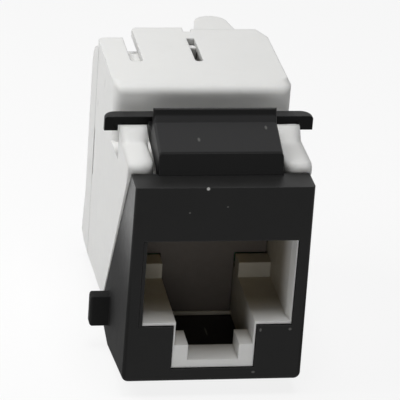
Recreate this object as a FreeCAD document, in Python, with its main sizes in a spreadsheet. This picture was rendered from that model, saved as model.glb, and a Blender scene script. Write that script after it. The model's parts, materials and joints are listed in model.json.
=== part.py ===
"""Keystone jack: an eight-contact modular socket that snaps into a wall plate or patch panel.

A black front housing with a sprung T-bar lever carries a white jack body. The body holds the plug
cavity, the contact carrier with its eight spring contacts, the circuit board and the terminal block
with its eight insulation-displacement blades. A white wire cap slides off the rear.

Jack frame, used by every sketch: +X right, +Y from the front face to the rear, +Z up, with Y = 0 on
the front face and Z = 0 on the front face's bottom edge. Every piece then gets the same Placement,
which puts the part's origin at the centre of its footprint, on the lowest point of its lug.
Lengths are in millimetres.
"""
import FreeCAD, Part
import os
import types
import Sketcher
from FreeCAD import Vector

# ---------------------------------------------------------------- driving dimensions
SIZES = {
    # front housing
    "face_height": 17.2,
    "face_wall": 1.15,
    "face_side_wall": 0.95,
    "face_taper": 0.2,
    "panel_wall": 0.75,
    "floor_wall": 0.8,
    "ledge_depth": 2.6,
    "ledge_wall": 1.45,
    "panel_tail": 0.9,
    "panel_toe_height": 2.0,
    "lug_drop": 1.5,
    "lug_lead": 0.4,
    "lug_heel_rise": 0.4,
    "heel_length": 2.0,
    "belly_radius": 0.55,
    "panel_slot_width": 1.75,
    "peg_reach": 1.6,
    "peg_lead": 0.5,
    "peg_depth": 1.1,
    "peg_bottom": 0.7,
    "peg_height": 2.7,
    "edge_radius": 0.25,
    # plug port
    "port_width": 11.8,
    "port_rim": 0.3,
    "port_rim_tip": 0.06,
    "port_lip": 0.45,
    "shelf_height": 5.25,
    "shelf_lip": 0.25,
    "keyway_width": 6.4,
    "keyway_lining": 0.15,
    "notch_width": 4.15,
    "notch_floor": 1.85,
    "cup_bottom": 1.15,
    "cup_height": 3.2,
    "cup_depth": 2.5,
    "nose_setback": 0.15,
    "plug_depth": 9.6,
    "stop_depth": 1.7,
    "stop_height": 1.35,
    "channel_floor": 1.2,
    # lever, in steps rearward and upward from the housing's ledge
    "pivot_gap": 0.45,
    "pivot_drop": 0.15,
    "knuckle_radius": 0.8,
    "ramp_foot_lead": 0.15,
    "ramp_foot_rise": 1.6,
    "ramp_length": 3.3,
    "ramp_rise": 1.2,
    "crest_length": 0.45,
    "crest_rise": 0.97,
    "crest_land": 0.3,
    "lever_slot_depth": 2.02,
    "lever_slot_length": 1.85,
    "lever_thickness": 1.0,
    "bar_overhang": 1.2,
    "bar_depth": 1.3,
    "bar_lip": 0.45,
    "bar_drop": 0.25,
    "hook_length": 0.5,
    "hook_width": 1.1,
    "bar_corner": 0.95,
    # jack body
    "cheek_width": 2.17,
    "cheek_rise": 0.65,
    "cheek_nose": 0.45,
    "cheek_corner": 1.3,
    "cheek_slope": 0.8,
    "cheek_step_rise": 0.91,
    "cheek_step_land": 0.45,
    "cheek_gap": 0.18,
    "trough_wall": 0.95,
    "bar_room": 2.0,
    "hood_rise": 3.35,
    "hood_wall": 0.65,
    "hood_front_wall": 0.9,
    "hood_radius": 0.6,
    "body_bottom": 0.5,
    "body_toe": 1.3,
    "body_floor": 0.8,
    "side_wall": 1.0,
    "slot_width": 0.68,
    "left_slot_width": 1.05,
    "slot_length": 4.35,
    "left_slot_offset": 4.725,
    "right_slot_offset": 0.54,
    "bridge_inset": 0.7,
    "bridge_depth": 1.55,
    "tongue_overhang": 3.15,
    "left_overhang": 0.85,
    "right_overhang": 2.85,
    "roof_corner": 0.35,
    "right_corner_width": 0.75,
    "right_corner_length": 1.85,
    "catch_width": 0.4,
    "catch_top_gap": 8.0,
    "catch_height": 4.3,
    # contacts, circuit board and terminals
    "pitch": 1.016,
    "contact_width": 0.45,
    "contact_thickness": 0.3,
    "contact_front": 1.6,
    "contact_bend_drop": 1.2,
    "contact_tip_reach": 0.45,
    "contact_tip_drop": 4.75,
    "contact_bend": 0.5,
    "carrier_plate": 0.8,
    "carrier_cover": 0.85,
    "carrier_wall": 1.25,
    "carrier_slot_width": 0.62,
    "comb_drop": 0.7,
    "comb_height": 3.7,
    "comb_depth": 0.75,
    "board_thickness": 1.2,
    "pin_hole_radius": 0.4,
    "pin_reach": 0.5,
    "block_depth": 4.8,
    "board_edge": 2.2,
    "terminal_row_rise": 2.6,
    "terminal_row_gap": 6.6,
    "blade_width": 2.0,
    "blade_thickness": 0.45,
    "blade_length": 4.3,
    "blade_slit": 0.3,
    "blade_mouth": 0.9,
    "blade_slit_depth": 2.8,
    "blade_pin_width": 0.5,
    "wire_groove_width": 1.1,
    "wire_groove_depth": 3.4,
    # wire cap
    "cap_depth": 3.3,
    "cap_wall": 1.2,
    "cap_skirt_gap": 1.35,
    "cap_skirt_length": 3.6,
    "cap_skirt_wall": 0.75,
    "cap_skirt_drop": 2.6,
    "cap_relief_drop": 1.3,
    "cap_relief_left": 5.6,
    "cap_relief_right": 3.0,
    "cap_shoulder_radius": 3.0,
    "cap_foot_reach": 1.0,
    "cap_foot_length": 1.6,
    "cap_foot_rise": 0.4,
    "cap_flare_height": 4.5,
    "cable_hole_radius": 3.2,
    "tab_offset": 3.0,
    "tab_width": 3.6,
    "tab_radius": 1.45,
    "tab_overhang": 2.75,
    "tab_thickness": 1.3,
    "tab_web_drop": 3.0,
    # fits
    "seat_gap": 0.05,
    "seam_gap": 0.12,
    "slide_gap": 0.1,
    "knuckle_gap": 0.03,
}
CONTACTS = 8
TERMINAL_COLUMNS = 4
MARGIN = 5.0  # how far a cutting outline runs past the surface that it opens

document = FreeCAD.newDocument("keystone_jack")
sheet = document.addObject("Spreadsheet::Sheet", "Sizes")
for row, (alias, number) in enumerate(SIZES.items(), start=1):
    sheet.set(f"A{row}", alias)
    sheet.set(f"B{row}", str(number))
    sheet.setAlias(f"B{row}", alias)
document.recompute()


# ---------------------------------------------------------------- lengths bound to the sheet
class Length:
    """A length with both its value and the sheet formula that gives it."""

    def __init__(self, value, formula):
        self.value = value
        self.formula = formula

    def __add__(self, other):
        other = length(other)
        return Length(self.value + other.value, f"({self.formula} + {other.formula})")

    def __radd__(self, other):
        return length(other) + self

    def __sub__(self, other):
        other = length(other)
        return Length(self.value - other.value, f"({self.formula} - {other.formula})")

    def __rsub__(self, other):
        return length(other) - self

    def __mul__(self, factor):
        return Length(self.value * factor, f"({self.formula} * {factor})")

    def __truediv__(self, factor):
        return Length(self.value / factor, f"({self.formula} / {factor})")

    def __neg__(self):
        return Length(-self.value, f"(0 - {self.formula})")


def length(number):
    return number if isinstance(number, Length) else Length(float(number), f"{number}")


size = types.SimpleNamespace(**{alias: Length(number, f"Sizes.{alias}") for alias, number in SIZES.items()})


def bind(thing, path, amount):
    """Ties a property or constraint to the sheet."""
    thing.setExpression(path, length(amount).formula)


# ---------------------------------------------------------------- shared places
port_half = size.port_width / 2
keyway_half = size.keyway_width / 2
keyway_outer = keyway_half + size.keyway_lining
nose_outer = port_half + size.port_rim
face_half_top = nose_outer + size.face_side_wall
body_half = face_half_top + size.face_taper
cheek_inner = body_half - size.cheek_width
lever_half = cheek_inner - size.cheek_gap
bar_half = body_half + size.bar_overhang
panel_inner = face_half_top - size.panel_wall + size.edge_radius * 0.4

ledge_underside = size.face_height - size.ledge_wall
pivot_setback = size.ledge_depth + size.pivot_gap
pivot_height = size.face_height - size.pivot_drop
ramp_foot_setback = pivot_setback - size.ramp_foot_lead
ramp_foot_height = size.face_height + size.ramp_foot_rise
ramp_head_setback = ramp_foot_setback + size.ramp_length
ramp_head_height = ramp_foot_height + size.ramp_rise
crest_setback = ramp_head_setback + size.crest_length
crest_rear = crest_setback + size.crest_land
crest_height = ramp_head_height + size.crest_rise
lever_slot_floor = crest_height - size.lever_slot_depth
bar_setback = crest_rear + size.lever_slot_length
bar_rear = bar_setback + size.bar_depth
bar_bottom = lever_slot_floor - size.bar_drop
hook_bottom = bar_bottom - size.hook_length
panel_slot_front = crest_rear + size.slide_gap
panel_slot_rear = panel_slot_front + size.panel_slot_width
heel_rear = panel_slot_rear + size.heel_length
panel_rear = heel_rear + size.panel_tail

trough_floor = ledge_underside - size.seat_gap
cavity_top = trough_floor - size.trough_wall
carrier_top = cavity_top - size.slide_gap
contact_run_height = carrier_top - size.carrier_cover
contact_row_height = contact_run_height + size.contact_thickness / 2
contact_tip_height = contact_run_height - size.contact_tip_drop
carrier_plate_bottom = contact_run_height - size.carrier_plate
port_top = carrier_plate_bottom - size.port_lip
carrier_wall_front = size.plug_depth + size.seat_gap
carrier_rear = carrier_wall_front + size.carrier_wall
board_front = carrier_rear + size.slide_gap
board_rear = board_front + size.board_thickness
board_half = body_half - size.side_wall - size.slide_gap
chamber_half = body_half - size.side_wall
chamber_floor = size.body_toe + size.body_floor
block_front = board_rear + size.seat_gap
block_rear = block_front + size.block_depth
cap_skirt_front = block_rear + size.cap_skirt_gap
body_rear = cap_skirt_front + size.cap_skirt_length

hood_front = bar_rear + size.bar_room
hood_top = size.face_height + size.hood_rise
roof_underside = hood_top - size.hood_wall
tongue_rear = body_rear + size.tongue_overhang
right_roof_rear = body_rear + size.right_overhang
cap_front = body_rear + size.seam_gap
cap_rear = body_rear + size.cap_depth
cap_top = roof_underside - size.slide_gap
tab_reach = cap_rear + size.tab_overhang
tab_center = tab_reach - size.tab_radius


# ---------------------------------------------------------------- document helpers
def new_body(label):
    """A PartDesign body that stands in the part frame."""
    body = document.addObject("PartDesign::Body", label)
    body.Label = label
    bind(body, "Placement.Base.y", -tab_reach / 2)
    bind(body, "Placement.Base.z", size.lug_drop)
    return body


def sketch_on(body, plane, name, offset=0):
    """A sketch on one of the body's own planes, moved along the plane's normal."""
    sketch = body.newObject("Sketcher::SketchObject", name)
    face = [item for item in body.Origin.OriginFeatures if item.Role == plane][0]
    sketch.AttachmentSupport = [(face, "")]
    sketch.MapMode = "FlatFace"
    if isinstance(offset, Length) or offset:
        bind(sketch, "AttachmentOffset.Base.z", offset)
    return sketch


def place_point(sketch, shape, end, across, up):
    """Ties one end of a sketch line, or a circle's centre, to its two distances from the origin."""
    for kind, amount in (("DistanceX", across), ("DistanceY", up)):
        amount = length(amount)
        number = sketch.addConstraint(Sketcher.Constraint(kind, -1, 1, shape, end, amount.value))
        name = f"{kind.lower()}_{number}"
        sketch.renameConstraint(number, name)
        bind(sketch, f"Constraints.{name}", amount)


def outline(sketch, corners):
    """A closed outline of straight edges through the corners."""
    first = sketch.GeometryCount
    points = [Vector(length(across).value, length(up).value, 0) for across, up in corners]
    count = len(points)
    for index in range(count):
        sketch.addGeometry(Part.LineSegment(points[index], points[(index + 1) % count]))
    for index in range(count):
        following = first + (index + 1) % count
        sketch.addConstraint(Sketcher.Constraint("Coincident", first + index, 2, following, 1))
    for index, (across, up) in enumerate(corners):
        place_point(sketch, first + index, 1, across, up)
    return sketch


def rectangle(sketch, left, right, bottom, top):
    return outline(sketch, [(left, bottom), (right, bottom), (right, top), (left, top)])


def circle(sketch, across, up, radius):
    shape = sketch.addGeometry(
        Part.Circle(Vector(length(across).value, length(up).value, 0), Vector(0, 0, 1), length(radius).value))
    place_point(sketch, shape, 3, across, up)
    number = sketch.addConstraint(Sketcher.Constraint("Radius", shape, length(radius).value))
    name = f"radius_{number}"
    sketch.renameConstraint(number, name)
    bind(sketch, f"Constraints.{name}", radius)
    return sketch


def pad(body, sketch, amount, symmetric=False, reverse=False):
    feature = body.newObject("PartDesign::Pad", f"{sketch.Name}_pad")
    feature.Profile = sketch
    bind(feature, "Length", amount)
    feature.SideType = "Symmetric" if symmetric else "One side"
    feature.Reversed = reverse
    document.recompute()
    return feature


def cut(body, sketch, amount, symmetric=False, reverse=False):
    """A pocket, which must take some material away."""
    before = body.Shape.Volume
    feature = body.newObject("PartDesign::Pocket", f"{sketch.Name}_cut")
    feature.Profile = sketch
    bind(feature, "Length", amount)
    feature.SideType = "Symmetric" if symmetric else "One side"
    feature.Reversed = reverse
    document.recompute()
    if not body.Shape.Volume < before:
        raise RuntimeError(f"{body.Label}: {sketch.Name} cuts nothing")
    return feature


def repeat(body, features, direction, spacing, count):
    """A row of copies of the features, spaced along one of the body's own axes."""
    row = body.newObject("PartDesign::LinearPattern", f"{features[0].Name}_row")
    axis = [item for item in body.Origin.OriginFeatures if item.Role == direction][0]
    row.Originals = features
    row.Direction = (axis, [""])
    row.Mode = "Spacing"
    bind(row, "Offset", spacing)
    row.Occurrences = count
    body.Tip = row
    document.recompute()
    return row


def mirror(body, features):
    """The features' copies on the other side of the jack's middle plane."""
    twin = body.newObject("PartDesign::Mirrored", f"{features[0].Name}_twin")
    plane = [item for item in body.Origin.OriginFeatures if item.Role == "YZ_Plane"][0]
    twin.Originals = features
    twin.MirrorPlane = (plane, [""])
    body.Tip = twin
    document.recompute()
    return twin


def round_edges(body, chosen, radius):
    """Rounds the edges of the body's last feature that the test picks, by middle point and direction."""
    base = body.Tip
    names = []
    for number, edge in enumerate(base.Shape.Edges, start=1):
        ends = edge.Vertexes
        if len(ends) != 2 or "Line" not in edge.Curve.TypeId:
            continue
        run = (ends[1].Point - ends[0].Point).normalize()
        middle = (ends[0].Point + ends[1].Point) / 2
        if chosen(middle, run):
            names.append(f"Edge{number}")
    if not names:
        raise RuntimeError(f"{body.Label}: no edge to round")
    feature = body.newObject("PartDesign::Fillet", f"{body.Label}_round")
    feature.Base = (base, names)
    bind(feature, "Radius", radius)
    document.recompute()
    return feature


def near(first, second, reach=0.02):
    return abs(first - length(second).value) < reach


def lies_along(run, axis):
    return abs(getattr(run, axis)) > 0.99


# ---------------------------------------------------------------- front housing
def make_front_housing():
    """Bezel, two raked side panels, floor with the fixed lug, and the seat for the lever."""
    body = new_body("front_housing")
    face = sketch_on(body, "XZ_Plane", "face")
    outline(face, [(-body_half, -size.lug_drop), (body_half, -size.lug_drop),
                   (face_half_top, size.face_height), (-face_half_top, size.face_height)])
    pad(body, face, panel_rear, reverse=True)

    rake = sketch_on(body, "YZ_Plane", "panel_rake")
    outline(rake, [(size.ledge_depth, size.face_height), (panel_rear, size.panel_toe_height),
                   (panel_rear + MARGIN, size.panel_toe_height),
                   (panel_rear + MARGIN, size.face_height + MARGIN),
                   (size.ledge_depth, size.face_height + MARGIN)])
    cut(body, rake, body_half * 2 + MARGIN, symmetric=True)

    heel_height = size.lug_heel_rise - size.lug_drop
    belly = sketch_on(body, "YZ_Plane", "belly")
    outline(belly, [(-MARGIN, 0), (0, 0), (panel_slot_rear - size.lug_lead, -size.lug_drop),
                    (heel_rear, heel_height), (panel_rear, size.panel_toe_height - size.lug_drop),
                    (panel_rear + MARGIN, size.panel_toe_height - size.lug_drop),
                    (panel_rear + MARGIN, -size.lug_drop - MARGIN),
                    (-MARGIN, -size.lug_drop - MARGIN)])
    cut(body, belly, body_half * 2 + MARGIN, symmetric=True)
    round_edges(body, lambda middle, run: abs(run.y) > 0.9 and abs(run.x) < 0.02 and middle.z < 0
                and middle.y < heel_rear.value, size.belly_radius)

    panel_slot = sketch_on(body, "YZ_Plane", "panel_slot")
    rectangle(panel_slot, panel_slot_front, panel_slot_rear, -size.lug_drop - MARGIN, 0)
    cut(body, panel_slot, panel_inner * 2, symmetric=True)

    pegs = sketch_on(body, "YZ_Plane", "pegs")
    peg_front = panel_slot_rear - size.peg_lead
    rectangle(pegs, peg_front, peg_front + size.peg_depth,
              size.peg_bottom, size.peg_bottom + size.peg_height)
    pad(body, pegs, body_half * 2 + size.peg_reach * 2, symmetric=True)

    room = sketch_on(body, "XZ_Plane", "room", -size.face_wall)
    rectangle(room, -panel_inner, panel_inner, size.floor_wall, ledge_underside)
    cut(body, room, panel_rear)

    ledge = sketch_on(body, "YZ_Plane", "ledge_rear")
    rectangle(ledge, size.ledge_depth, panel_rear, ledge_underside - size.seat_gap,
              size.face_height + MARGIN)
    cut(body, ledge, panel_inner * 2, symmetric=True)

    seat = sketch_on(body, "YZ_Plane", "lever_seat")
    seat_rear = pivot_setback + size.knuckle_radius + size.knuckle_gap
    rectangle(seat, size.face_wall, seat_rear, ledge_underside,
              pivot_height - size.knuckle_radius + size.knuckle_gap * 6)
    pad(body, seat, (cheek_inner - size.seam_gap) * 2, symmetric=True)
    socket = sketch_on(body, "YZ_Plane", "knuckle_socket")
    circle(socket, pivot_setback, pivot_height, size.knuckle_radius + size.knuckle_gap)
    cut(body, socket, (lever_half + size.knuckle_gap) * 2, symmetric=True)

    port = sketch_on(body, "XZ_Plane", "port")
    edge = nose_outer + size.seat_gap
    key_edge = keyway_outer + size.seat_gap
    step = size.shelf_height - size.shelf_lip - size.seat_gap
    key_bottom = size.cup_bottom - size.seat_gap
    outline(port, [(-edge, step), (-key_edge, step), (-key_edge, key_bottom), (key_edge, key_bottom),
                   (key_edge, step), (edge, step), (edge, port_top), (-edge, port_top)])
    cut(body, port, size.face_wall + size.seat_gap)

    outer = body_half + size.peg_reach
    round_edges(body, lambda middle, run: near(abs(middle.x), outer), size.edge_radius)
    round_edges(body, lambda middle, run: near(middle.y, 0) and abs(run.z) > 0.9
                and abs(middle.x) > nose_outer.value + 0.3, size.edge_radius)
    return body


# ---------------------------------------------------------------- lever
def make_latch_lever():
    """Sprung lever: rounded knuckle, ramp with its crest, panel slot and T-bar with two hooks."""
    body = new_body("latch_lever")
    bar_top = lever_slot_floor + size.bar_lip
    side = sketch_on(body, "YZ_Plane", "lever_side")
    outline(side, [
        (pivot_setback - size.knuckle_radius, pivot_height),
        (ramp_foot_setback, ramp_foot_height),
        (ramp_head_setback, ramp_head_height),
        (crest_setback, crest_height),
        (crest_rear, crest_height),
        (crest_rear, lever_slot_floor),
        (bar_setback, lever_slot_floor),
        (bar_setback, bar_top),
        (bar_rear, bar_top),
        (bar_rear, bar_bottom),
        (bar_setback, lever_slot_floor - size.lever_thickness),
        (pivot_setback + size.knuckle_radius, pivot_height)])
    pad(body, side, lever_half * 2, symmetric=True)
    knuckle = sketch_on(body, "YZ_Plane", "knuckle")
    circle(knuckle, pivot_setback, pivot_height, size.knuckle_radius)
    pad(body, knuckle, lever_half * 2, symmetric=True)

    hook_inner = bar_half - size.hook_width
    bar = sketch_on(body, "XZ_Plane", "t_bar", -bar_setback)
    outline(bar, [(-bar_half, hook_bottom), (-hook_inner, hook_bottom), (-hook_inner, bar_bottom),
                  (hook_inner, bar_bottom), (hook_inner, hook_bottom), (bar_half, hook_bottom),
                  (bar_half, bar_top), (-bar_half, bar_top)])
    pad(body, bar, size.bar_depth, reverse=True)
    round_edges(body, lambda middle, run: lies_along(run, "z") and near(middle.y, bar_rear)
                and near(abs(middle.x), bar_half), size.bar_corner)
    round_edges(body, lambda middle, run: lies_along(run, "y") and near(abs(middle.x), bar_half)
                and near(middle.z, bar_top), size.edge_radius)
    round_edges(body, lambda middle, run: near(abs(middle.x), lever_half)
                and ramp_foot_height.value < middle.z < crest_height.value
                and abs(run.x) < 0.01 and middle.y < crest_setback.value, size.edge_radius)
    return body


# ---------------------------------------------------------------- jack body
def make_jack_body():
    """White moulding: plug cavity, cheeks beside the lever, hood over the terminals, snap tongue."""
    body = new_body("jack_body")
    inner_front = size.face_wall + size.seat_gap
    underside = size.floor_wall + size.seat_gap
    cheek_front = size.ledge_depth + size.cheek_gap
    cheek_height = size.face_height + size.cheek_rise
    cheek_step_height = cheek_height + size.cheek_step_rise
    cheek_step_rear = bar_setback - size.cheek_gap
    cheek_step_front = cheek_step_rear - size.cheek_step_land
    side = sketch_on(body, "YZ_Plane", "body_side")
    outline(side, [
        (inner_front, underside),
        (inner_front, trough_floor),
        (cheek_front, trough_floor),
        (cheek_front, cheek_height),
        (cheek_step_front - size.cheek_slope, cheek_height),
        (cheek_step_front, cheek_step_height),
        (cheek_step_rear, cheek_step_height),
        (cheek_step_rear, trough_floor),
        (hood_front, trough_floor),
        (hood_front, hood_top),
        (tongue_rear, hood_top),
        (tongue_rear, roof_underside),
        (body_rear, roof_underside),
        (body_rear, size.body_bottom),
        (panel_rear + size.seam_gap, size.body_toe),
        (panel_rear + size.seam_gap, underside)])
    pad(body, side, body_half * 2, symmetric=True)
    round_edges(body, lambda middle, run: near(middle.y, hood_front) and middle.z > trough_floor.value
                and (lies_along(run, "z") or near(middle.z, hood_top)), size.hood_radius)

    recess = sketch_on(body, "YZ_Plane", "panel_recess", panel_inner - size.seat_gap)
    outline(recess, [(-MARGIN, -MARGIN), (panel_rear + size.seam_gap, -MARGIN),
                     (panel_rear + size.seam_gap, size.panel_toe_height),
                     (size.ledge_depth + size.seam_gap, size.face_height),
                     (size.ledge_depth + size.seam_gap, size.face_height + MARGIN),
                     (-MARGIN, size.face_height + MARGIN)])
    panel_recess = cut(body, recess, MARGIN, reverse=True)
    mirror(body, [panel_recess])

    lever_well = sketch_on(body, "XZ_Plane", "lever_well")
    rectangle(lever_well, -cheek_inner, cheek_inner, trough_floor, hood_top + MARGIN)
    cut(body, lever_well, cheek_step_rear)
    round_edges(body, lambda middle, run: lies_along(run, "z") and near(middle.y, cheek_front)
                and near(abs(middle.x), cheek_inner), size.cheek_corner)
    round_edges(body, lambda middle, run: lies_along(run, "x") and near(middle.y, cheek_front)
                and near(middle.z, cheek_height), size.cheek_nose)

    stop_front = size.plug_depth - size.stop_depth
    plug = sketch_on(body, "XZ_Plane", "plug_cavity")
    rectangle(plug, -port_half, port_half, size.shelf_height, cavity_top)
    cut(body, plug, board_front)
    channel = sketch_on(body, "XZ_Plane", "keyway_channel")
    rectangle(channel, -keyway_half, keyway_half, size.channel_floor, size.shelf_height + size.slide_gap)
    cut(body, channel, board_front)
    window = sketch_on(body, "XZ_Plane", "floor_window")
    rectangle(window, -keyway_half, keyway_half, 0, size.channel_floor + size.slide_gap)
    cut(body, window, size.plug_depth)

    nose_rear = inner_front + size.shelf_lip
    rim_bottom = size.shelf_height - size.shelf_lip
    rims = sketch_on(body, "XY_Plane", "port_rims", rim_bottom)
    for sign in (-1, 1):
        outline(rims, [(nose_outer * sign, size.nose_setback), (nose_outer * sign, nose_rear),
                       (port_half * sign, nose_rear), (port_half * sign, inner_front),
                       ((nose_outer - size.port_rim_tip) * sign, size.nose_setback)])
    pad(body, rims, port_top - size.seat_gap - rim_bottom)
    lips = sketch_on(body, "XZ_Plane", "shelf_lips", -size.nose_setback)
    for sign in (-1, 1):
        lip_end = (nose_outer - size.port_rim_tip) * sign
        outline(lips, [(keyway_half * sign, size.shelf_height), (lip_end, size.shelf_height),
                       (lip_end, rim_bottom), (keyway_outer * sign, rim_bottom),
                       (keyway_outer * sign, size.cup_bottom), (keyway_half * sign, size.cup_bottom)])
    pad(body, lips, nose_rear - size.nose_setback, reverse=True)
    cup = sketch_on(body, "XZ_Plane", "catch_cup", -size.nose_setback)
    notch_half = size.notch_width / 2
    outline(cup, [(-keyway_half, size.cup_bottom), (keyway_half, size.cup_bottom),
                  (keyway_half, size.cup_height), (notch_half, size.cup_height),
                  (notch_half, size.notch_floor), (-notch_half, size.notch_floor),
                  (-notch_half, size.cup_height), (-keyway_half, size.cup_height)])
    pad(body, cup, size.cup_depth, reverse=True)
    stops = sketch_on(body, "XZ_Plane", "plug_stops", -stop_front)
    for sign in (-1, 1):
        rectangle(stops, keyway_half * sign, port_half * sign,
                  size.shelf_height - size.slide_gap, size.shelf_height + size.stop_height)
    pad(body, stops, size.stop_depth, reverse=True)

    board_room = sketch_on(body, "XZ_Plane", "board_room", -carrier_rear)
    rectangle(board_room, -chamber_half, chamber_half, chamber_floor, cavity_top)
    cut(body, board_room, body_rear)
    chamber = sketch_on(body, "XZ_Plane", "terminal_chamber", -(hood_front + size.hood_front_wall))
    rectangle(chamber, -chamber_half, chamber_half, chamber_floor, roof_underside)
    cut(body, chamber, body_rear)

    slot_front = body_rear - size.slot_length
    bridge_front = body_rear + size.bridge_inset
    left_roof_rear = body_rear + size.left_overhang
    left_slot_outer = -size.left_slot_offset - size.left_slot_width / 2
    left_slot_inner = -size.left_slot_offset + size.left_slot_width / 2
    right_slot_inner = size.right_slot_offset - size.slot_width / 2
    right_slot_outer = size.right_slot_offset + size.slot_width / 2
    roof = sketch_on(body, "XY_Plane", "roof_edges", hood_top + MARGIN)
    outline(roof, [(-body_half - MARGIN, left_roof_rear - size.roof_corner),
                   (-body_half, left_roof_rear - size.roof_corner),
                   (-body_half + size.roof_corner, left_roof_rear), (left_slot_outer, left_roof_rear),
                   (left_slot_outer, slot_front), (left_slot_inner, slot_front),
                   (left_slot_inner, tongue_rear - size.roof_corner),
                   (left_slot_inner + size.roof_corner, tongue_rear),
                   (left_slot_inner + size.roof_corner, tongue_rear + MARGIN),
                   (-body_half - MARGIN, tongue_rear + MARGIN)])
    rectangle(roof, right_slot_inner, right_slot_outer, slot_front, bridge_front)
    outline(roof, [(right_slot_inner, bridge_front + size.bridge_depth),
                   (right_slot_outer, bridge_front + size.bridge_depth),
                   (right_slot_outer, right_roof_rear),
                   (body_half - size.right_corner_width, right_roof_rear),
                   (body_half, right_roof_rear - size.right_corner_length),
                   (body_half + MARGIN, right_roof_rear - size.right_corner_length),
                   (body_half + MARGIN, tongue_rear + MARGIN),
                   (right_slot_inner, tongue_rear + MARGIN)])
    cut(body, roof, size.hood_wall + MARGIN + size.slide_gap)
    round_edges(body, lambda middle, run: lies_along(run, "z") and near(middle.y, slot_front)
                and middle.z > roof_underside.value, size.slot_width / 2 * 0.9)

    catches = sketch_on(body, "YZ_Plane", "cap_catches")
    catch_top = hood_top - size.catch_top_gap
    rectangle(catches, body_rear - size.catch_width, body_rear + MARGIN,
              catch_top - size.catch_height, catch_top)
    cut(body, catches, body_half * 2 + MARGIN, symmetric=True)
    return body


# ---------------------------------------------------------------- contact carrier and contacts
def first_contact_offset():
    return -size.pitch * (CONTACTS - 1) / 2


def make_contact_carrier():
    """Insert that guides the eight contacts over its plate and spaces their tips in a comb."""
    body = new_body("contact_carrier")
    half = port_half - size.slide_gap
    plate_front = size.contact_front + size.contact_thickness + size.seat_gap
    side = sketch_on(body, "YZ_Plane", "carrier_side")
    wall_bottom = size.shelf_height + size.stop_height + size.slide_gap
    outline(side, [(plate_front, carrier_plate_bottom), (carrier_wall_front, carrier_plate_bottom),
                   (carrier_wall_front, wall_bottom), (carrier_rear, wall_bottom),
                   (carrier_rear, carrier_top), (plate_front, carrier_top)])
    pad(body, side, half * 2, symmetric=True)
    foot = sketch_on(body, "XZ_Plane", "carrier_foot", -carrier_wall_front)
    foot_half = keyway_half - size.slide_gap
    rectangle(foot, -foot_half, foot_half, size.channel_floor + size.seat_gap, wall_bottom)
    pad(body, foot, size.carrier_wall, reverse=True)

    start = first_contact_offset()
    half_slot = size.carrier_slot_width / 2
    groove = sketch_on(body, "XZ_Plane", "run_groove")
    rectangle(groove, start - half_slot, start + half_slot,
              contact_run_height - size.seat_gap, carrier_top + MARGIN)
    run_groove = cut(body, groove, carrier_rear)
    comb = sketch_on(body, "XZ_Plane", "comb_slot", -carrier_wall_front)
    comb_bottom = contact_tip_height - size.comb_drop
    rectangle(comb, start - half_slot, start + half_slot, comb_bottom, comb_bottom + size.comb_height)
    comb_slot = cut(body, comb, size.comb_depth)
    repeat(body, [run_groove, comb_slot], "X_Axis", size.pitch, CONTACTS)
    return body


def make_contact(number):
    """Flat spring: pin, straight run, front bend and the long leg that slopes down to its tip."""
    body = new_body(f"contact_{number}")
    front = size.contact_front
    thick = size.contact_thickness
    low = contact_run_height
    bend = low + thick - size.contact_bend_drop
    pin_end = board_rear + size.pin_reach
    tip = carrier_wall_front + size.contact_tip_reach
    offset = first_contact_offset() + size.pitch * (number - 1) - size.contact_width / 2
    side = sketch_on(body, "YZ_Plane", "contact_side", offset)
    outline(side, [(pin_end, low), (pin_end, low + thick), (front, low + thick), (front, bend - thick),
                   (tip, contact_tip_height - thick), (tip, contact_tip_height),
                   (front + thick, bend), (front + thick, low)])
    pad(body, side, size.contact_width)
    outer = size.contact_bend + size.contact_thickness
    round_edges(body, lambda middle, run: lies_along(run, "x") and near(middle.y, front)
                and near(middle.z, low + thick), outer)
    round_edges(body, lambda middle, run: lies_along(run, "x") and near(middle.y, front)
                and near(middle.z, bend - thick), size.contact_thickness)
    return body


# ---------------------------------------------------------------- board, block and blades
def terminal_places():
    """Across and up positions of the eight terminals: four columns in two rows."""
    places = []
    for row in (0, 1):
        for column in range(TERMINAL_COLUMNS):
            across = (board_half - size.board_edge) * (2 * column / (TERMINAL_COLUMNS - 1) - 1)
            places.append((across, chamber_floor + size.terminal_row_rise + size.terminal_row_gap * row))
    return places


def make_circuit_board():
    """Board between the contacts and the terminals, with a hole for each pin."""
    body = new_body("circuit_board")
    plate = sketch_on(body, "XZ_Plane", "board", -board_front)
    rectangle(plate, -board_half, board_half, chamber_floor + size.slide_gap, cavity_top - size.slide_gap)
    pad(body, plate, size.board_thickness, reverse=True)
    holes = sketch_on(body, "XZ_Plane", "pin_holes", -board_front)
    for number in range(CONTACTS):
        circle(holes, first_contact_offset() + size.pitch * number, contact_row_height, size.pin_hole_radius)
    for across, up in terminal_places():
        circle(holes, across, up, size.pin_hole_radius)
    cut(body, holes, size.board_thickness + MARGIN)
    return body


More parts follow.
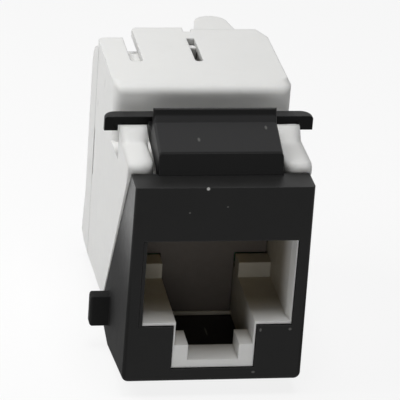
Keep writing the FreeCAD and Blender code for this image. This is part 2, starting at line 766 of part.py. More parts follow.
def make_terminal_block():
    """Block that holds the blades upright and guides a wire into each of them."""
    body = new_body("terminal_block")
    half = board_half
    front = sketch_on(body, "XZ_Plane", "block", -block_front)
    rectangle(front, -half, half, chamber_floor + size.slide_gap, cavity_top - size.slide_gap)
    pad(body, front, size.block_depth, reverse=True)
    relief = sketch_on(body, "XZ_Plane", "solder_relief", -block_front)
    row_half = size.pitch * CONTACTS / 2
    rectangle(relief, -row_half, row_half, contact_run_height - size.pin_hole_radius,
              cavity_top + MARGIN)
    cut(body, relief, size.pin_reach + size.slide_gap)
    pockets = sketch_on(body, "XZ_Plane", "blade_pockets", -block_front)
    half_blade = size.blade_width / 2 + size.seat_gap
    half_thick = size.blade_thickness / 2 + size.seat_gap
    for across, up in terminal_places():
        rectangle(pockets, across - half_blade, across + half_blade, up - half_thick, up + half_thick)
    cut(body, pockets, size.block_depth + MARGIN)
    grooves = sketch_on(body, "XZ_Plane", "wire_grooves", -(block_rear + MARGIN))
    half_groove = size.wire_groove_width / 2
    for column in range(TERMINAL_COLUMNS):
        across = terminal_places()[column][0]
        rectangle(grooves, across - half_groove, across + half_groove, 0, cavity_top + MARGIN)
    cut(body, grooves, size.wire_groove_depth + MARGIN, reverse=True)
    return body


def make_blade(number):
    """Insulation-displacement blade: pin through the board, and a fork with a flared mouth."""
    body = new_body(f"idc_blade_{number}")
    across, up = terminal_places()[number - 1]
    root = block_front + size.seat_gap
    tip = root + size.blade_length
    half = size.blade_width / 2
    half_pin = size.blade_pin_width / 2
    half_slit = size.blade_slit / 2
    half_mouth = size.blade_mouth / 2
    slit_end = tip - size.blade_slit_depth
    flat = sketch_on(body, "XY_Plane", "blade_flat", up - size.blade_thickness / 2)
    outline(flat, [(across - half_pin, board_front - size.pin_reach * 0.1),
                   (across + half_pin, board_front - size.pin_reach * 0.1),
                   (across + half_pin, root), (across + half, root), (across + half, tip),
                   (across + half_mouth, tip), (across + half_slit, tip - half_mouth),
                   (across + half_slit, slit_end), (across - half_slit, slit_end),
                   (across - half_slit, tip - half_mouth), (across - half_mouth, tip),
                   (across - half, tip), (across - half, root), (across - half_pin, root)])
    pad(body, flat, size.blade_thickness)
    return body


# ---------------------------------------------------------------- wire cap
def make_wire_cap():
    """Rear cap: skirt that slides into the hood, cable hole, side relief and rounded finger tab."""
    body = new_body("wire_cap")
    foot_reach = cap_rear + size.cap_foot_reach
    shell = sketch_on(body, "YZ_Plane", "cap_shell")
    outline(shell, [(cap_front, size.body_bottom), (foot_reach - size.cap_foot_length, size.body_bottom),
                    (foot_reach, size.body_bottom + size.cap_foot_rise),
                    (cap_rear, size.body_bottom + size.cap_flare_height), (cap_rear, cap_top),
                    (cap_front, cap_top)])
    pad(body, shell, body_half * 2, symmetric=True)
    round_edges(body, lambda middle, run: lies_along(run, "x") and near(middle.y, cap_rear)
                and near(middle.z, cap_top), size.cap_shoulder_radius)

    skirt_half = chamber_half - size.slide_gap
    skirt_bottom = chamber_floor + size.slide_gap
    skirt = sketch_on(body, "XZ_Plane", "cap_skirt", -cap_skirt_front)
    rectangle(skirt, -skirt_half, skirt_half, skirt_bottom, cap_top - size.cap_skirt_drop)
    pad(body, skirt, cap_front - cap_skirt_front, reverse=True)
    hollow = sketch_on(body, "XZ_Plane", "cap_hollow", -cap_skirt_front)
    inner_half = skirt_half - size.cap_skirt_wall
    rectangle(hollow, -inner_half, inner_half, skirt_bottom + size.cap_skirt_wall, cap_top + MARGIN)
    cut(body, hollow, cap_rear - size.cap_wall - cap_skirt_front)
    relief = sketch_on(body, "XZ_Plane", "side_relief", -cap_skirt_front)
    rectangle(relief, -size.cap_relief_left, -size.cap_relief_right, cap_top - size.cap_relief_drop,
              cap_top + MARGIN)
    cut(body, relief, cap_rear)

    tab_top = hood_top - size.seat_gap
    tab_front = right_roof_rear + size.slide_gap
    tab_bottom = tab_top - size.tab_thickness
    half_tab = size.tab_width / 2
    tab = sketch_on(body, "XY_Plane", "finger_tab", tab_top)
    outline(tab, [(size.tab_offset - half_tab, tab_front), (size.tab_offset + half_tab, tab_front),
                  (size.tab_offset + size.tab_radius, tab_center),
                  (size.tab_offset - size.tab_radius, tab_center)])
    pad(body, tab, size.tab_thickness, reverse=True)
    end = sketch_on(body, "XY_Plane", "tab_end", tab_top)
    circle(end, size.tab_offset, tab_center, size.tab_radius)
    pad(body, end, size.tab_thickness, reverse=True)
    web = sketch_on(body, "YZ_Plane", "tab_web", size.tab_offset)
    outline(web, [(cap_rear - size.cap_wall, cap_top - size.tab_web_drop),
                  (cap_rear, cap_top - size.tab_web_drop), (tab_center, tab_bottom),
                  (tab_front, tab_bottom + size.tab_thickness / 2), (tab_front, cap_top),
                  (cap_rear - size.cap_wall, cap_top)])
    pad(body, web, size.tab_radius * 2, symmetric=True)

    hole = sketch_on(body, "XZ_Plane", "cable_hole", -cap_skirt_front)
    circle(hole, 0, (skirt_bottom + cap_top) / 2, size.cable_hole_radius)
    cut(body, hole, cap_rear)
    return body


# ---------------------------------------------------------------- build, test and write
pieces = [make_front_housing(), make_latch_lever(), make_jack_body(), make_contact_carrier(),
          make_circuit_board(), make_terminal_block(), make_wire_cap()]
pieces += [make_contact(number) for number in range(1, CONTACTS + 1)]
pieces += [make_blade(number) for number in range(1, 2 * TERMINAL_COLUMNS + 1)]
document.recompute()

for item in document.Objects:
    if "Invalid" in item.State or "Error" in item.State:
        raise RuntimeError(f"{item.Label} did not compute: {item.State}")
for piece in pieces:
    if piece.Shape.isNull() or not piece.Shape.isValid():
        raise RuntimeError(f"{piece.Label} has no valid shape")
    if len(piece.Shape.Solids) != 1:
        raise RuntimeError(f"{piece.Label} has {len(piece.Shape.Solids)} solids")

os.makedirs("parts", exist_ok=True)
for piece in pieces:
    piece.Shape.exportStep(f"parts/{piece.Label}.step")
    print(piece.Label, round(piece.Shape.Volume, 3), "mm3")
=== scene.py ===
"""Looks of the keystone jack: procedural materials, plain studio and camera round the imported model.

Everything is in metres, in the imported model's own frame: +X right, +Y from the plug port to the
wire cap, +Z up, with the front face at the front housing's lowest Y.
"""
import json
import math

import bmesh
import bpy
from mathutils import Matrix, Vector


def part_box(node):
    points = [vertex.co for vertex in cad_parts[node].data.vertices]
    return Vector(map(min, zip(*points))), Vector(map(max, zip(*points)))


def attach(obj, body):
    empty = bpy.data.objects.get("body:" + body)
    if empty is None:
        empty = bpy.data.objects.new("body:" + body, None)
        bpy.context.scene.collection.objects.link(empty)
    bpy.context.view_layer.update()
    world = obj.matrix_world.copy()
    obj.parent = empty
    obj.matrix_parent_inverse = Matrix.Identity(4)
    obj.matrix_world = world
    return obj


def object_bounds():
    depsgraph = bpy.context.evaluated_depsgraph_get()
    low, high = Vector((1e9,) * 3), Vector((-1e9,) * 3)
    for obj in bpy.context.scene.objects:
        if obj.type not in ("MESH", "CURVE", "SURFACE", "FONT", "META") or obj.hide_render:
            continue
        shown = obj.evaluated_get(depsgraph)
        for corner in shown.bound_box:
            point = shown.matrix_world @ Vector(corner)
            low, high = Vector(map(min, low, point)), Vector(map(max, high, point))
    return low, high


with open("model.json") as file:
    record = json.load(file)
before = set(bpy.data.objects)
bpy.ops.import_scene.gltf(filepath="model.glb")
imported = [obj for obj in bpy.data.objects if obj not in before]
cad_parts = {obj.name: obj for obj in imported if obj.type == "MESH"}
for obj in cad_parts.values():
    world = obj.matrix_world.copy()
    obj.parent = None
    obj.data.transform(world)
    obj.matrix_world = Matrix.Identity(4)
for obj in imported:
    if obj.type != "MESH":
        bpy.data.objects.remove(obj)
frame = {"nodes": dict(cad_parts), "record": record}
cad_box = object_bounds()

MM = 0.001
housing_low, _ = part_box("front_housing")
body_low, body_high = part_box("jack_body")
front_y = housing_low.y
floor_z = housing_low.z
hood_top = body_high.z

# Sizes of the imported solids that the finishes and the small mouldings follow.
HOOD_FRONT = 12.1 * MM     # from the front face to the hood's front
ROOF_WALL = 0.65 * MM      # the roof's thickness
PORT_TOP = 14.05 * MM      # from the foot to the plug port's upper edge
PORT_HALF = 6.2 * MM       # half the plug port's width
FLANK_HALF = 7.0 * MM      # half the width across the raked side panels


def at(x, y, z):
    """A point in millimetres from the middle of the front face's foot, in the model's frame."""
    return (x * MM, front_y + y * MM, floor_z + z * MM)


# ---------------------------------------------------------------- node helpers
class Shader:
    """A material's node tree with short calls for the nodes used here."""

    def __init__(self, name):
        self.material = bpy.data.materials.new(name)
        self.material.use_nodes = True
        self.tree = self.material.node_tree
        self.nodes = self.tree.nodes
        self.surface = self.nodes["Principled BSDF"]
        self.place = self.nodes.new("ShaderNodeTexCoord").outputs["Object"]
        self.parts = None

    def link(self, source, socket):
        self.tree.links.new(source, socket)

    def feed(self, name, source):
        """Links a source to the surface shader's socket of that name."""
        self.link(source, self.surface.inputs[name])

    def set(self, **values):
        """Plain numbers and colours, written on the surface shader's own sockets."""
        for name, value in values.items():
            self.surface.inputs[name.replace("_", " ")].default_value = value

    def noise(self, size, detail=3.0, stretch=None):
        """Noise whose features are about size metres wide, from 0 to 1."""
        node = self.nodes.new("ShaderNodeTexNoise")
        node.inputs["Scale"].default_value = 1 / size
        node.inputs["Detail"].default_value = detail
        node.inputs["Roughness"].default_value = 0.55
        place = self.place
        if stretch:
            mapping = self.nodes.new("ShaderNodeMapping")
            mapping.inputs["Scale"].default_value = stretch
            self.link(place, mapping.inputs["Vector"])
            place = mapping.outputs["Vector"]
        self.link(place, node.inputs["Vector"])
        return node.outputs["Fac"]

    def ramp(self, source, low, high, from_value=0.0, to_value=1.0):
        """Eases from from_value at low to to_value at high, and holds them outside."""
        node = self.nodes.new("ShaderNodeMapRange")
        node.interpolation_type = "SMOOTHSTEP"
        for name, value in (("From Min", low), ("From Max", high),
                            ("To Min", from_value), ("To Max", to_value)):
            node.inputs[name].default_value = value
        self.link(source, node.inputs["Value"])
        return node.outputs["Result"]

    def math(self, operation, first, second=None):
        node = self.nodes.new("ShaderNodeMath")
        node.operation = operation
        for socket, value in zip(node.inputs, (first, second)):
            if isinstance(value, (int, float)):
                socket.default_value = value
            elif value is not None:
                self.link(value, socket)
        return node.outputs["Value"]

    def times(self, product, *factors):
        """The product of masks and numbers."""
        for factor in factors:
            product = self.math("MULTIPLY", product, factor)
        return product

    def mix(self, amount, first, second):
        """A colour between first and second."""
        node = self.nodes.new("ShaderNodeMix")
        node.data_type = "RGBA"
        for socket, value in zip((node.inputs["Factor"], node.inputs[6], node.inputs[7]),
                                 (amount, first, second)):
            if isinstance(value, (int, float)):
                socket.default_value = value
            elif isinstance(value, tuple):
                socket.default_value = (*value, 1.0)
            else:
                self.link(value, socket)
        return node.outputs[2]

    def edges(self, radius):
        """Soft normals at the edges, and a mask that is 1 on them."""
        bevel = self.nodes.new("ShaderNodeBevel")
        bevel.samples = 6
        if isinstance(radius, float):
            bevel.inputs["Radius"].default_value = radius
        else:
            self.link(radius, bevel.inputs["Radius"])
        geometry = self.nodes.new("ShaderNodeNewGeometry")
        dot = self.nodes.new("ShaderNodeVectorMath")
        dot.operation = "DOT_PRODUCT"
        self.link(bevel.outputs["Normal"], dot.inputs[0])
        self.link(geometry.outputs["Normal"], dot.inputs[1])
        return bevel.outputs["Normal"], self.ramp(dot.outputs["Value"], 0.995, 0.86)

    def crevices(self, distance):
        """1 in the open, falling to 0 in corners and gaps."""
        node = self.nodes.new("ShaderNodeAmbientOcclusion")
        node.samples = 6
        node.inputs["Distance"].default_value = distance
        return node.outputs["AO"]

    def bump(self, source, height, normal=None):
        """Normals of a surface that source raises by up to height."""
        node = self.nodes.new("ShaderNodeBump")
        node.inputs["Strength"].default_value = 1.0
        node.inputs["Distance"].default_value = height
        self.link(source, node.inputs["Height"])
        if normal is not None:
            self.link(normal, node.inputs["Normal"])
        return node.outputs["Normal"]

    def axis(self, name):
        """The place along X, Y or Z, in the model's frame."""
        if self.parts is None:
            self.parts = self.nodes.new("ShaderNodeSeparateXYZ")
            self.link(self.place, self.parts.inputs[0])
        return self.parts.outputs[name]

    def off_middle(self):
        """The distance from the jack's middle plane."""
        return self.math("ABSOLUTE", self.axis("X"))

    def near(self, spot, reach, stretch=(1.0, 1.0, 1.0)):
        """1 inside a small spot, 0 outside it; the spot is reach / stretch long each way."""
        shift = self.nodes.new("ShaderNodeVectorMath")
        shift.operation = "SUBTRACT"
        shift.inputs[1].default_value = spot
        self.link(self.place, shift.inputs[0])
        scale = self.nodes.new("ShaderNodeVectorMath")
        scale.operation = "MULTIPLY"
        scale.inputs[1].default_value = stretch
        self.link(shift.outputs["Vector"], scale.inputs[0])
        size = self.nodes.new("ShaderNodeVectorMath")
        size.operation = "LENGTH"
        self.link(scale.outputs["Vector"], size.inputs[0])
        return self.ramp(size.outputs["Value"], reach, reach * 0.45)

    def spots(self, colour, places, tint):
        """The colour with small marks of a tint at the places, each (spot, reach, stretch)."""
        total = None
        for place in places:
            mark = self.near(*place)
            total = mark if total is None else self.math("MAXIMUM", total, mark)
        return self.mix(total, colour, tint)


# ---------------------------------------------------------------- materials
DUST = (0.05, 0.049, 0.047)
# Grey of the black's edges, partly wear and partly painted highlight.
WORN_EDGE_AND_HIGHLIGHT = (0.05, 0.05, 0.05)
# A lighter black for the painted highlight on the lever's ramp.
RAMP_SHEEN = (0.026, 0.026, 0.0265)
CHIP = (0.62, 0.62, 0.60)
# Light specks of dust, and painted glints.
SPECK_AND_GLINT = (0.11, 0.11, 0.105)
HOUSING_MARKS = [
    (CHIP, [(at(-1.43, 0.0, 18.60), 0.17 * MM)]),
    (SPECK_AND_GLINT, [(at(0.23, 0.0, 17.03), 0.09 * MM),
             (at(-2.76, 0.0, 16.54), 0.10 * MM),
             (at(6.12, 0.0, 6.08), 0.16 * MM),
             # This mark and the next are painted glints on the front face.
             (at(3.70, 0.0, 6.04), 0.12 * MM, (1.0, 1.0, 0.6)),
             (at(3.39, 0.0, 2.19), 0.13 * MM, (0.7, 1.0, 1.0)),
             (at(0.69, 0.0, 14.00), 0.10 * MM),
             # A scratch on the port's floor, with a painted glint along it.
             (at(0.64, 6.8, 2.30), 0.9 * MM, (9.0, 1.0, 0.6))]),
]
LEVER_MARKS = [(SPECK_AND_GLINT, [(at(-1.62, 4.39, 20.90), 0.14 * MM, (1.0, 0.5, 0.3)),
                        (at(3.98, 5.65, 21.40), 0.14 * MM, (1.0, 0.5, 0.3))])]


def black_plastic(name, low, high, specular, marks, ramp_sheen=None):
    """Satin black moulding: faint mottling, dust, small marks with some painted glints, and edges a
    little grey from wear and from painted highlight.

    ramp_sheen is a band of painted highlight on the lever's ramp: where it starts and ends along Y, and
    half its width.
    """
    shader = Shader(name)
    soft, edge_wear_and_highlight = shader.edges(0.12 * MM)
    mottle = shader.noise(2.2 * MM, 4)
    dust = shader.ramp(shader.noise(0.16 * MM, 2), 0.72, 0.80)
    patches = shader.ramp(shader.noise(3.5 * MM, 3), 0.5, 0.7)
    colour = shader.mix(mottle, low, high)
    colour = shader.mix(shader.times(dust, patches, 0.4), colour, DUST)
    # Painted highlight: a lighter band across the lever's ramp, where a lamp's sheen falls.
    if ramp_sheen:
        start, end, half = ramp_sheen
        band = shader.times(shader.ramp(shader.axis("Y"), start, start + 0.1 * MM),
                            shader.ramp(shader.axis("Y"), end, end - 0.1 * MM),
                            shader.ramp(shader.off_middle(), half, half - 0.06 * MM))
        colour = shader.mix(band, colour, RAMP_SHEEN)
    # Edges lighter grey, partly from wear and partly as painted highlight.
    colour = shader.mix(shader.times(edge_wear_and_highlight, 0.4), colour, WORN_EDGE_AND_HIGHLIGHT)
    for tint, places in marks:
        colour = shader.spots(colour, places, tint)
    shader.feed("Base Color", colour)
    # The raked side panels are glossier near their top and duller towards their foot.
    glossy_above, dull_below = floor_z + 16.5 * MM, floor_z + 8.0 * MM
    finish = shader.ramp(shader.noise(0.9 * MM, 5), 0.3, 0.7, 0.37, 0.41)
    flank = shader.ramp(shader.off_middle(), FLANK_HALF - 0.1 * MM, FLANK_HALF + 0.1 * MM)
    fall = shader.ramp(shader.axis("Z"), glossy_above, dull_below, -0.10, 0.36)
    shader.feed("Roughness", shader.math("ADD", finish, shader.times(flank, fall)))
    shader.set(Specular_IOR_Level=specular)
    shader.feed("Normal", shader.bump(shader.noise(0.07 * MM, 2), 0.0012 * MM, soft))
    return shader.material


WHITE = (0.80, 0.80, 0.785)
# Painted shade for corners and creases.
CORNER_SHADE = (0.60, 0.59, 0.55)
# Painted shade for narrow deep gaps.
GAP_SHADE = (0.10, 0.095, 0.085)
SIDE_MARK = (0.56, 0.55, 0.53)
# Painted shade deep in the plug port.
PORT_SHADE = ((0.36, 0.335, 0.28), (0.27, 0.25, 0.205))


def darker(colour, share):
    """The colour with each part brought down to that share."""
    return tuple(part * share for part in colour)


def white_plastic(name="white_plastic", colour=WHITE, shade=CORNER_SHADE):
    """Satin white moulding, a little see-through at thin edges, with painted shade in its corners and
    near black painted shade in deep gaps.

    Returns its shader and its base colour, so that a piece of its own can add marks.
    """
    shader = Shader(name)
    # The hood's front edges are rounder than the solid's, so their normals are softened further.
    edge_radius, hood_extra_radius = 0.14 * MM, 1.15 * MM
    hood_front = front_y + HOOD_FRONT
    at_hood = shader.times(shader.ramp(shader.axis("Y"), hood_front + 2.2 * MM, hood_front + 1.5 * MM),
                           shader.ramp(shader.axis("Z"), hood_top - 4.6 * MM, hood_top - 4.0 * MM))
    soft, _ = shader.edges(shader.math("ADD", shader.times(at_hood, hood_extra_radius), edge_radius))
    mottle = shader.ramp(shader.noise(3.0 * MM, 4), 0.3, 0.75)
    flow = shader.ramp(shader.noise(1.1 * MM, 3, (1.0, 0.35, 1.0)), 0.5, 0.8)
    base = shader.mix(shader.times(mottle, 0.35), colour, darker(colour, 0.96))
    base = shader.mix(shader.times(flow, 0.25), base, darker(colour, 0.97))
    # Painted shade: greyer in corners and creases.
    corner_shade = shader.ramp(shader.crevices(0.5 * MM), 0.75, 0.2)
    base = shader.mix(shader.times(corner_shade, 0.5), base, shade)
    # Painted shade: near black in narrow deep gaps, such as beside the lever.
    gap_shade = shader.ramp(shader.crevices(1.6 * MM), 0.30, 0.12)
    base = shader.mix(shader.times(gap_shade, 0.85), base, GAP_SHADE)
    shader.feed("Base Color", base)
    shader.feed("Roughness", shader.ramp(shader.noise(0.8 * MM, 4), 0.3, 0.7, 0.40, 0.52))
    shader.set(Specular_IOR_Level=0.35, Subsurface_Weight=0.12, Subsurface_Scale=0.5 * MM,
               Subsurface_Radius=(1.0, 0.95, 0.85))
    grain = shader.bump(shader.noise(0.08 * MM, 2), 0.0015 * MM, soft)
    shader.feed("Normal", shader.bump(shader.noise(2.0 * MM, 3), 0.008 * MM, grain))
    return shader, base


def body_plastic():
    """The jack body's white moulding: painted shade inside its port, with faint marks on its left side.
    """
    shader, base = white_plastic("body_plastic")
    # Painted shade: the port turns brown and dark from a little behind the front face inwards.
    lit_to, shaded_from = front_y + 1.3 * MM, front_y + 4.6 * MM
    inside = shader.times(
        shader.ramp(shader.axis("Y"), lit_to, shaded_from),
        shader.ramp(shader.axis("Z"), floor_z + PORT_TOP + 0.3 * MM, floor_z + PORT_TOP),
        shader.ramp(shader.off_middle(), PORT_HALF, PORT_HALF - 0.15 * MM))
    port_shade = shader.mix(shader.noise(1.3 * MM, 4), *PORT_SHADE)
    base = shader.mix(inside, base, port_shade)
    side = body_low.x / MM
    marks = [(at(side, 22.3, 20.2), 0.34 * MM, (0.4, 1.6, 1.0)),
             (at(side, 22.2, 19.1), 0.55 * MM, (0.4, 5.0, 0.8)),
             (at(side, 17.6, 20.1), 0.55 * MM, (0.4, 4.0, 1.0)),
             (at(side, 20.8, 16.9), 0.40 * MM, (0.4, 3.0, 1.0))]
    shader.feed("Base Color", shader.spots(base, marks, SIDE_MARK))
    return shader.material


def dark_plastic():
    """Dull brown-black moulding of the contact carrier; its dark colour is painted shade deep in the
    port.
    """
    shader = Shader("carrier_plastic")
    soft, _ = shader.edges(0.06 * MM)
    mottle = shader.noise(0.8 * MM, 4)
    shader.feed("Base Color", shader.mix(mottle, (0.040, 0.032, 0.025), (0.058, 0.047, 0.038)))
    shader.feed("Roughness", shader.ramp(shader.noise(0.4 * MM, 3), 0.3, 0.7, 0.5, 0.64))
    shader.feed("Normal", shader.bump(shader.noise(0.09 * MM, 3), 0.004 * MM, soft))
    return shader.material


def plated_metal(name, colour, dull, roughness):
    """Plated spring metal with rolling lines along its length and slightly duller patches."""
    shader = Shader(name)
    lines = shader.noise(0.05 * MM, 3, (1.0, 0.06, 0.06))
    patches = shader.ramp(shader.noise(0.7 * MM, 4), 0.45, 0.75)
    shader.feed("Base Color", shader.mix(patches, colour, dull))
    shader.feed("Roughness", shader.ramp(lines, 0.3, 0.7, roughness, roughness + 0.14))
    shader.set(Metallic=1.0)
    shader.feed("Normal", shader.bump(lines, 0.0008 * MM))
    return shader.material


def board_laminate():
    """Green solder mask over glass weave, with bare laminate at the board's cut edges."""
    shader = Shader("board_laminate")
    weave = shader.noise(0.12 * MM, 2, (1.0, 1.0, 0.25))
    green = shader.mix(weave, (0.016, 0.10, 0.045), (0.024, 0.15, 0.065))
    _, cut_edge = shader.edges(0.1 * MM)
    shader.feed("Base Color", shader.mix(cut_edge, green, (0.22, 0.26, 0.12)))
    shader.feed("Roughness", shader.ramp(weave, 0.3, 0.7, 0.28, 0.4))
    shader.feed("Normal", shader.bump(weave, 0.003 * MM))
    return shader.material


def dress_nodes():
    """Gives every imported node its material, and returns the plain white and black ones."""
    # The lever's ramp, where the band of painted highlight lies.
    ramp_sheen_band = (front_y + 3.05 * MM, front_y + 6.5 * MM, 5.15 * MM)
    black = black_plastic("black_plastic", (0.007, 0.007, 0.007), (0.0105, 0.0105, 0.0102), 0.15,
                          HOUSING_MARKS)
    # The lever's black is darker than the housing's, as painted shade on the lever.
    lever = black_plastic("lever_plastic", (0.0035, 0.0035, 0.0036), (0.0055, 0.0055, 0.0054), 0.09,
                          LEVER_MARKS, ramp_sheen_band)
    body = body_plastic()
    white = white_plastic()[0].material
    block = white_plastic("block_plastic", (0.72, 0.71, 0.67), (0.55, 0.54, 0.5))[0].material
    own_finish = {"jack_body": body, "latch_lever": lever}
    finishes = {
        "black_plastic": black,
        "white_plastic": white,
        "carrier_plastic": dark_plastic(),
        "block_plastic": block,
        "board_laminate": board_laminate(),
        "contact_gold": plated_metal("contact_gold", (0.83, 0.60, 0.24), (0.70, 0.50, 0.22), 0.2),
        "blade_tin": plated_metal("blade_tin", (0.72, 0.71, 0.69), (0.58, 0.57, 0.55), 0.3),
    }
    for part in frame["record"]["subparts"]:
        node = frame["nodes"][part["node"]]
        node.data.materials.clear()
        node.data.materials.append(own_finish.get(part["node"], finishes[part["material_slot"]]))
    return white, black


# ---------------------------------------------------------------- small mouldings
def moulding(name, outline, low, high, body, material, edge=0.06 * MM, along="Y"):
    """A moulded piece with eased edges: an outline across and up, run from low to high.

    It runs along Y with its outline across X, or along X with its outline across Y.
    """
    mesh = bmesh.new()

    def ring(reach):
        return [mesh.verts.new((across, reach, up) if along == "Y" else (reach, across, up))
                for across, up in outline]

    front, back = ring(low), ring(high)
    mesh.faces.new(front)
    mesh.faces.new(back[::-1])
    for number in range(len(outline)):
        follower = (number + 1) % len(outline)
        mesh.faces.new((front[follower], front[number], back[number], back[follower]))
    bmesh.ops.recalc_face_normals(mesh, faces=mesh.faces[:])
    bmesh.ops.bevel(mesh, geom=mesh.edges[:], offset=edge, segments=2, affect="EDGES",
                    clamp_overlap=True)
    data = bpy.data.meshes.new(name)
    mesh.to_mesh(data)
    mesh.free()
    piece = bpy.data.objects.new(name, data)
    bpy.context.scene.collection.objects.link(piece)
    data.materials.append(material)
    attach(piece, body)


def under_roof(points, start=0.0):
    """Points in millimetres across from start and up from the roof's underside, in metres."""
    return [(start + across * MM, hood_top - ROOF_WALL + up * MM) for across, up in points]


def make_ribs(material):
    """Guide ribs under the roof's two slots: a plain one, and a channel with an end wall."""
    rib_start = front_y + HOOD_FRONT + 0.9 * MM

    left, right, depth = -5.45, -3.95, 0.75
    plain = [(left, 0), (right, 0), (right, -depth), (left, -depth)]
    moulding("left_roof_rib", under_roof(plain), rib_start, front_y + 20.9 * MM,
             "jack", material)

    left, right, depth = -0.15, 1.23, 1.15
    inner_left, inner_right, inner_depth = 0.08, 1.0, 0.8
    channel = [(left, 0), (inner_left, 0), (inner_left, -inner_depth), (inner_right, -inner_depth),
               (inner_right, 0), (right, 0), (right, -depth), (left, -depth)]
    moulding("right_roof_rib", under_roof(channel), rib_start, front_y + 21.85 * MM,
             "jack", material)

    # The end wall stands in the channel, sunk a little into its floor, and rises to the wire cap.
    front, back, sunk, sides = 21.5, 21.9, 0.02, 0.02
    end_wall = [(front, -inner_depth - sunk), (back, -inner_depth - sunk), (back, 0.28), (front, 0.24)]
    moulding("right_rib_end", under_roof(end_wall, front_y),
             (inner_left + sides) * MM, (inner_right - sides) * MM,
             "jack", material, 0.04 * MM, "X")


def make_port_lip(material):
    """A thin black lip of the bezel, which hides the white moulding's edge on the port's left."""
    outer, inner = -6.23 * MM, -5.94 * MM
    foot, top = floor_z + 6.4 * MM, floor_z + 14.03 * MM
    moulding("port_left_lip", [(outer, foot), (inner, foot), (inner, top), (outer, top)],
             front_y, front_y + 0.12 * MM, "jack", material, 0.03 * MM)


# ---------------------------------------------------------------- studio
FLOOR_SIZE = 4.0
FLOOR_SHADE = (0.88, 0.88, 0.88, 1.0)
FLOOR_WHITENING = 0.85   # how far the floor, where it is seen, is brought towards the background
AMBIENT = 0.02
KEY_LEVEL = 0.52
LEFT_LEVEL = 0.56
FRONT_LEVEL = 0.17


def seen_directly(tree):
    """1 for the camera, in reflections and through clear things, 0 for light on the object."""
    path = tree.nodes.new("ShaderNodeLightPath")
    total = path.outputs["Is Camera Ray"]
    for name in ("Is Glossy Ray", "Is Transmission Ray"):
        node = tree.nodes.new("ShaderNodeMath")
        node.operation = "MAXIMUM"
        tree.links.new(total, node.inputs[0])
        tree.links.new(path.outputs[name], node.inputs[1])
        total = node.outputs["Value"]
    return total


def make_world():
    """White surroundings, dimmer as a source of light."""
    world = bpy.data.worlds.new("studio")
    bpy.context.scene.world = world
    world.use_nodes = True
    tree = world.node_tree
    background = tree.nodes["Background"]
    background.inputs["Color"].default_value = (1.0, 1.0, 1.0, 1.0)
    strength = tree.nodes.new("ShaderNodeMapRange")
    strength.inputs["To Min"].default_value = AMBIENT
    strength.inputs["To Max"].default_value = 1.0
    tree.links.new(seen_directly(tree), strength.inputs["Value"])
    tree.links.new(strength.outputs["Result"], background.inputs["Strength"])


def make_floor():
    """Pale floor: it keeps a soft shadow, and the rest of it meets the white background."""
    half = FLOOR_SIZE / 2
    mesh = bpy.data.meshes.new("floor")
    corners = [(-half, -half, floor_z), (half, -half, floor_z),
               (half, half, floor_z), (-half, half, floor_z)]
    mesh.from_pydata(corners, [], [(0, 1, 2, 3)])
    floor = bpy.data.objects.new("floor", mesh)
    bpy.context.scene.collection.objects.link(floor)
    material = bpy.data.materials.new("floor")
    material.use_nodes = True
    tree = material.node_tree
    surface = tree.nodes["Principled BSDF"]
    surface.inputs["Base Color"].default_value = FLOOR_SHADE
    surface.inputs["Roughness"].default_value = 0.9
    surface.inputs["Specular IOR Level"].default_value = 0.0
    glow = tree.nodes.new("ShaderNodeEmission")
    glow.inputs["Strength"].default_value = 1.0
    mix = tree.nodes.new("ShaderNodeMixShader")
    share = tree.nodes.new("ShaderNodeMath")
    share.operation = "MULTIPLY"
    share.inputs[1].default_value = FLOOR_WHITENING
    tree.links.new(seen_directly(tree), share.inputs[0])
    tree.links.new(share.outputs["Value"], mix.inputs["Fac"])
    tree.links.new(surface.outputs["BSDF"], mix.inputs[1])
    tree.links.new(glow.outputs["Emission"], mix.inputs[2])
    tree.links.new(mix.outputs["Shader"], tree.nodes["Material Output"].inputs["Surface"])
    mesh.materials.append(material)


def towards(azimuth, elevation):
    """The direction from the jack at these angles in degrees: azimuth 0 is straight in front."""
    turn, rise = math.radians(azimuth), math.radians(elevation)
    return Vector((math.sin(turn) * math.cos(rise), -math.cos(turn) * math.cos(rise), math.sin(rise)))


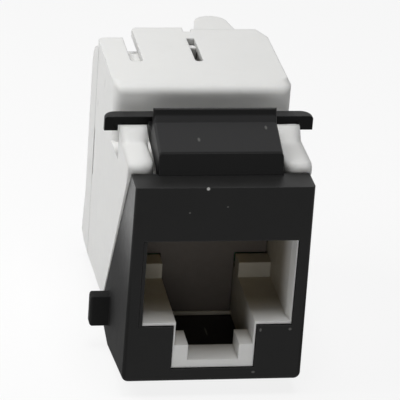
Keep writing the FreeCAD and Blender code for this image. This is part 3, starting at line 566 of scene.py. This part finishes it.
def area_light(name, azimuth, elevation, distance, size, level, aim):
    """A square soft light on the aim point; level is how bright a white surface facing it gets."""
    data = bpy.data.lights.new(name, "AREA")
    data.size = size
    data.energy = level * (math.pi * distance) ** 2
    light = bpy.data.objects.new(name, data)
    light.visible_camera = False
    bpy.context.scene.collection.objects.link(light)
    back = towards(azimuth, elevation)
    light.location = aim + back * distance
    light.rotation_mode = "QUATERNION"
    light.rotation_quaternion = back.to_track_quat("Z", "Y")


def make_lights():
    """A high key light, a close one from the left, and a weak one from the front."""
    middle = (cad_box[0] + cad_box[1]) / 2
    area_light("key", azimuth=0, elevation=84, distance=0.5, size=0.24, level=KEY_LEVEL, aim=middle)
    area_light("left", azimuth=-96, elevation=47, distance=0.10, size=0.07, level=LEFT_LEVEL, aim=middle)
    area_light("front", azimuth=-8, elevation=6, distance=0.5, size=0.2, level=FRONT_LEVEL, aim=middle)


# ---------------------------------------------------------------- camera
CAMERA_AZIMUTH = -11.193
CAMERA_ELEVATION = 25.183
CAMERA_ROLL = 4.317
CAMERA_DISTANCE = 213.23 * MM
CAMERA_AIM = Vector((-0.457 * MM, front_y + 8.004 * MM, floor_z + 13.823 * MM))
CAMERA_LENS = 235.56
SENSOR_WIDTH = 36.0


def make_camera():
    """A long lens from the front, a little left and above, rolled so that the jack leans right."""
    data = bpy.data.cameras.new("camera")
    data.sensor_width = SENSOR_WIDTH
    data.lens = CAMERA_LENS
    data.clip_start, data.clip_end = 0.01, 10.0
    camera = bpy.data.objects.new("camera", data)
    bpy.context.scene.collection.objects.link(camera)
    roll = math.radians(CAMERA_ROLL)
    back = towards(CAMERA_AZIMUTH, CAMERA_ELEVATION)
    level = Vector((0, 0, 1)).cross(back).normalized()
    rising = back.cross(level)
    across = level * math.cos(roll) + rising * math.sin(roll)
    up = back.cross(across)
    matrix = Matrix((across, up, back)).transposed().to_4x4()
    matrix.translation = CAMERA_AIM + back * CAMERA_DISTANCE
    camera.matrix_world = matrix
    bpy.context.scene.camera = camera


white_finish, black_finish = dress_nodes()
make_ribs(white_finish)
make_port_lip(black_finish)
make_world()
make_floor()
make_lights()
make_camera()
bpy.context.scene.view_settings.view_transform = "Standard"
